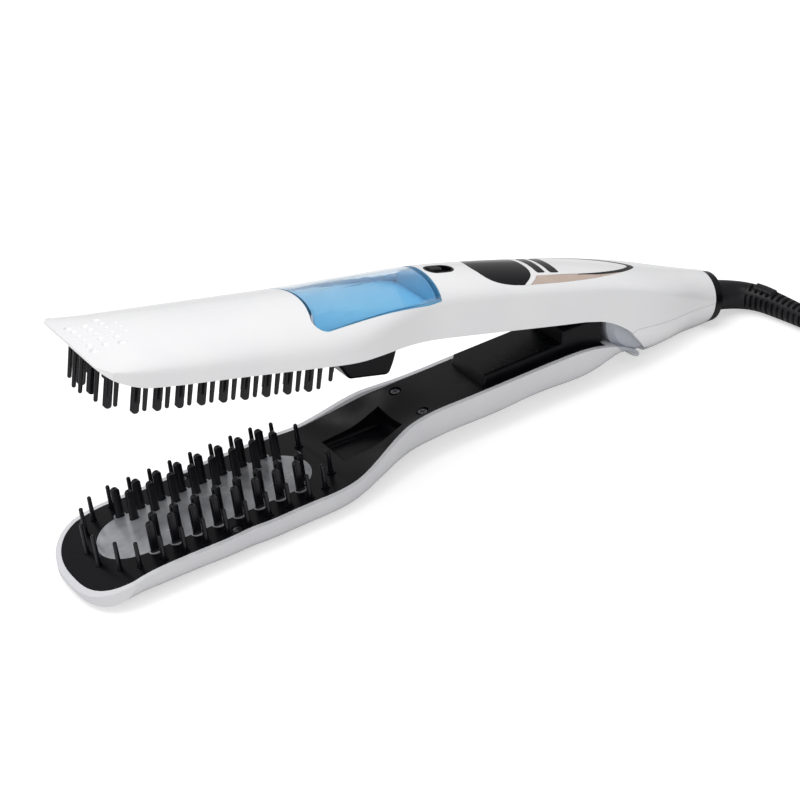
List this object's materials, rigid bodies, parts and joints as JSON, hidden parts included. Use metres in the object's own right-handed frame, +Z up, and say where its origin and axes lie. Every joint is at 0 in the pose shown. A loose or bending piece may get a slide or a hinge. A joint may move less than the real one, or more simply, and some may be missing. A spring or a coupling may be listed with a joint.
{
  "type": "steam hair straightener",
  "caption": "Steam hair straightener with two hinged comb-toothed arms, a saddle-shaped blue water tank on top, slide switch, two push buttons and a swivelling cord.",
  "frame": {"origin": "centre of the bounding box's underside, without the cord: the floor that the part lies on", "axes": "+X from the comb heads to the tail and cord, +Y to the far side, +Z up"},
  "size_m": [0.4556, 0.1124, 0.1029],
  "materials": {
    "white_gloss": "gloss",
    "black_satin": "satin",
    "tank_blue": "clear tinted",
    "plate_grey": "ceramic coated, smooth",
    "heater_metal": "plain",
    "steel": "plain",
    "rubber_black": "matt",
    "lens_black": "gloss",
    "button_grey": "satin",
    "rose_gold": "metallic satin",
    "board_green": "plain"
  },
  "bodies": {
    "main": {"upper_shell": "white_gloss", "upper_inner_cover": "black_satin", "upper_plate": "plate_grey", "upper_tooth_insert": "black_satin", "upper_pin_frame": "black_satin", "upper_heater": "heater_metal", "upper_heater_tray": "black_satin", "upper_thermal_fuse": "steel", "pump_housing": "black_satin", "water_pump": "black_satin", "tank_seat": "white_gloss", "tank_seal": "rubber_black", "slider_bezel": "black_satin", "display_lens": "lens_black", "oval_inlay": "white_gloss", "trim_strip_near": "rose_gold", "trim_strip_far": "rose_gold", "crescent_trim": "black_satin", "control_base": "black_satin", "tact_switches": "steel", "control_board": "board_green", "main_board": "board_green", "rear_lower_cover": "white_gloss", "hinge_pin": "steel", "end_ring": "black_satin"},
    "lower_arm": {"lower_shell": "white_gloss", "barrel_cap": "black_satin", "lower_inner_cover": "black_satin", "lower_plate": "plate_grey", "lower_tooth_insert": "black_satin", "lower_pin_frame": "black_satin", "lower_heater": "heater_metal", "lower_heater_tray": "black_satin", "lower_thermal_fuse": "steel", "head_screws": "steel", "neck_screws": "steel", "hinge_spring": "steel"},
    "slider": {"slider_knob": "black_satin"},
    "minus": {"button_minus": "button_grey"},
    "plus": {"button_plus": "button_grey"},
    "tank": {"water_tank": "tank_blue", "tank_filler_plug": "rubber_black"},
    "cord_swivel": {"swivel_stem": "black_satin", "strain_relief": "rubber_black", "cord_lead": "rubber_black", "cord_coil": "rubber_black", "cord_tail": "rubber_black", "plug_body": "black_satin", "plug_pins": "steel"}
  },
  "joints": [
    {"name": "arm_hinge", "type": "hinge", "parent": "main", "child": "lower_arm", "pos_m": [0.10691, 0, 0.02281], "axis": [0, 1, 0], "range_deg": [0, 15.25], "stiffness_Nm_per_rad": 0.8, "springref_deg": -45.84},
    {"name": "slider_travel", "type": "slide", "parent": "main", "child": "slider", "axis": [0.9615, 0, -0.2747], "range_m": [0, 0.004]},
    {"name": "minus_press", "type": "slide", "parent": "main", "child": "minus", "axis": [-0.2747, 0, -0.9615], "range_m": [0, 0.0005], "stiffness_N_per_m": 800, "springref_m": -0.0008},
    {"name": "plus_press", "type": "slide", "parent": "main", "child": "plus", "axis": [-0.2747, 0, -0.9615], "range_m": [0, 0.0005], "stiffness_N_per_m": 800, "springref_m": -0.0008},
    {"name": "tank_lift", "type": "slide", "parent": "main", "child": "tank", "axis": [0.2747, 0, 0.9615], "range_m": [0, 0.04]},
    {"name": "cord_turn", "type": "hinge", "parent": "main", "child": "cord_swivel", "pos_m": [0.15276, 0, 0.01039], "axis": [0.9615, 0, -0.2747], "range_deg": [-170, 170]}
  ]
}
